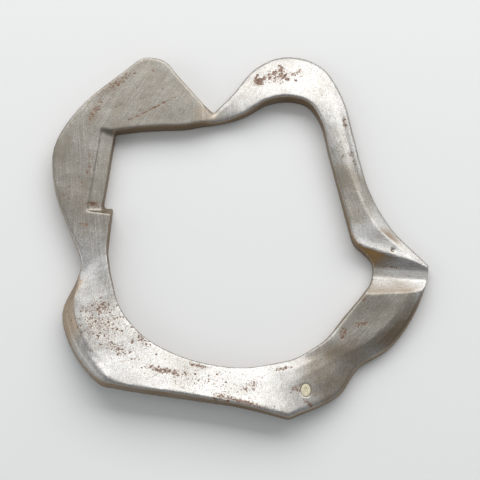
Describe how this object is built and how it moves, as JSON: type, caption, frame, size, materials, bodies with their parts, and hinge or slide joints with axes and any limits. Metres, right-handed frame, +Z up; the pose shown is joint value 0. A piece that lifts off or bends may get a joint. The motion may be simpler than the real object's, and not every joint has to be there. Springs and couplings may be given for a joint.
{
  "type": "metal disentanglement puzzle ring",
  "caption": "Irregular closed metal loop with a flat plate, thin neck, round arch, filed saddle groove and stepped ledge, from a take-apart puzzle.",
  "frame": {"origin": "on the surface that the ring lies on, under the middle of its outline", "axes": "+Z up through the ring's thickness; +Y from the bottom bar towards the arch; +X from the left arm towards the saddle"},
  "size_m": [0.0722, 0.0724, 0.0064],
  "materials": {
    "filed_steel": "filed and hand worn, with rust pits",
    "pale_filler": "matt filler, rubbed level"
  },
  "bodies": {
    "root": {"ring_casting": "filed_steel", "blowhole_plug": "pale_filler"}
  },
  "joints": []
}
